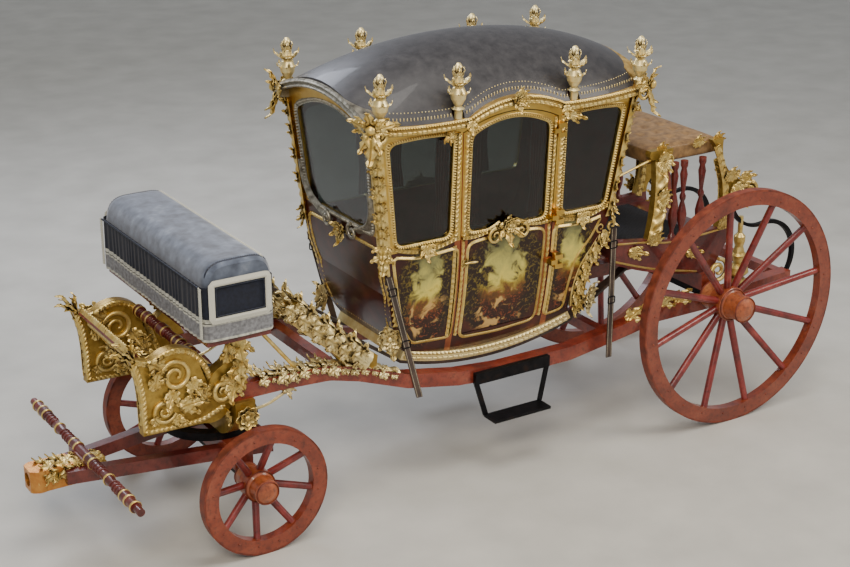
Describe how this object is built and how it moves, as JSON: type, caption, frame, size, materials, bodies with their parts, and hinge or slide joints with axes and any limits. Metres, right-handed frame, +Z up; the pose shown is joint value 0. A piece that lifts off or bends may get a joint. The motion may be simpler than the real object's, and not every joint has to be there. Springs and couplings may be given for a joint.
{
  "type": "horse-drawn state coach",
  "caption": "Gilded ceremonial coach: a hung, glazed body on twin perches, small steered front wheels, large rear wheels, coachman's seat and footmen's stand.",
  "frame": {"origin": "on the floor below the middle of the coach's whole length and width", "axes": "+X forward, towards the pole socket, +Y to the coach's left, +Z up"},
  "size_m": [5.5776, 1.828, 2.7828],
  "materials": {
    "red_paint": "brick-red painted timber, worn satin",
    "iron_tyre": "forged iron hoop, painted red and worn",
    "axle_iron": "black forged iron",
    "gilding": "carved wood, water gilded, pale yellow gold",
    "lacquer": "dark red-brown lacquered panels with gilded mouldings",
    "dome_leather": "dark grey nailed leather",
    "strap_leather": "dark brown harness leather",
    "stand_leather": "brown leather",
    "blue_velvet": "blue-grey velvet with pale borders",
    "red_velvet": "crimson velvet",
    "glass": "old plate glass",
    "cornice_grey": "silver-grey moulding with gilding"
  },
  "bodies": {
    "coach": {"perches": "red_paint", "rear_axle": "axle_iron", "upper_ring": "axle_iron", "kingpin": "axle_iron", "front_transom": "gilding", "seat_consoles": "gilding", "seat_board": "red_paint", "hammercloth": "blue_velvet", "footboard": "gilding", "footboard_brackets": "gilding", "foot_rail": "red_paint", "front_standards": "gilding", "body_side_left": "lacquer", "body_side_right": "lacquer", "quarter_glass": "glass", "front_glass": "glass", "front_wall": "lacquer", "rear_wall": "lacquer", "floor": "lacquer", "benches": "red_paint", "cushions": "red_velvet", "sill_frame": "gilding", "cornice": "cornice_grey", "finials": "gilding", "roof": "dome_leather", "braces": "strap_leather", "brace_pins": "axle_iron", "check_straps": "strap_leather", "steps": "axle_iron", "cross_timbers": "red_paint", "rear_axle_bed": "red_paint", "stand_sides": "red_paint", "footmen_board": "red_paint", "stand_posts": "gilding", "stand_top": "stand_leather", "tail_posts": "gilding", "scroll_irons": "axle_iron", "stay_rods": "gilding"},
    "fore_carriage": {"front_axle": "axle_iron", "front_axle_bed": "red_paint", "futchells": "red_paint", "lower_ring": "axle_iron", "fore_sway_bar": "red_paint", "pole_socket": "gilding", "splinter_bar": "red_paint"},
    "left_door": {"door_left": "lacquer", "door_glass_left": "glass"},
    "right_door": {"door_right": "lacquer", "door_glass_right": "glass"},
    "front_left_wheel": {"front_wheel_left": "red_paint", "front_tyre_left": "iron_tyre"},
    "front_right_wheel": {"front_wheel_right": "red_paint", "front_tyre_right": "iron_tyre"},
    "rear_left_wheel": {"rear_wheel_left": "red_paint", "rear_tyre_left": "iron_tyre"},
    "rear_right_wheel": {"rear_wheel_right": "red_paint", "rear_tyre_right": "iron_tyre"}
  },
  "joints": [
    {"name": "steering", "type": "hinge", "parent": "coach", "child": "fore_carriage", "pos_m": [1.613, 0, 0.587], "axis": [0, 0, 1], "range_deg": [-32, 32]},
    {"name": "left_door_hinge", "type": "hinge", "parent": "coach", "child": "left_door", "pos_m": [-0.6, 0.552, 1.64], "axis": [0, 0, 1], "range_deg": [0, 85]},
    {"name": "right_door_hinge", "type": "hinge", "parent": "coach", "child": "right_door", "pos_m": [-0.6, -0.552, 1.64], "axis": [0, 0, -1], "range_deg": [0, 85]},
    {"name": "front_left_wheel_spin", "type": "hinge", "parent": "fore_carriage", "child": "front_left_wheel", "pos_m": [1.613, 0.738, 0.402], "axis": [0, 1, 0], "continuous": true},
    {"name": "front_right_wheel_spin", "type": "hinge", "parent": "fore_carriage", "child": "front_right_wheel", "pos_m": [1.613, -0.738, 0.402], "axis": [0, 1, 0], "continuous": true},
    {"name": "rear_left_wheel_spin", "type": "hinge", "parent": "coach", "child": "rear_left_wheel", "pos_m": [-1.953, 0.818, 0.83], "axis": [0, 1, 0], "continuous": true},
    {"name": "rear_right_wheel_spin", "type": "hinge", "parent": "coach", "child": "rear_right_wheel", "pos_m": [-1.953, -0.818, 0.83], "axis": [0, 1, 0], "continuous": true}
  ]
}
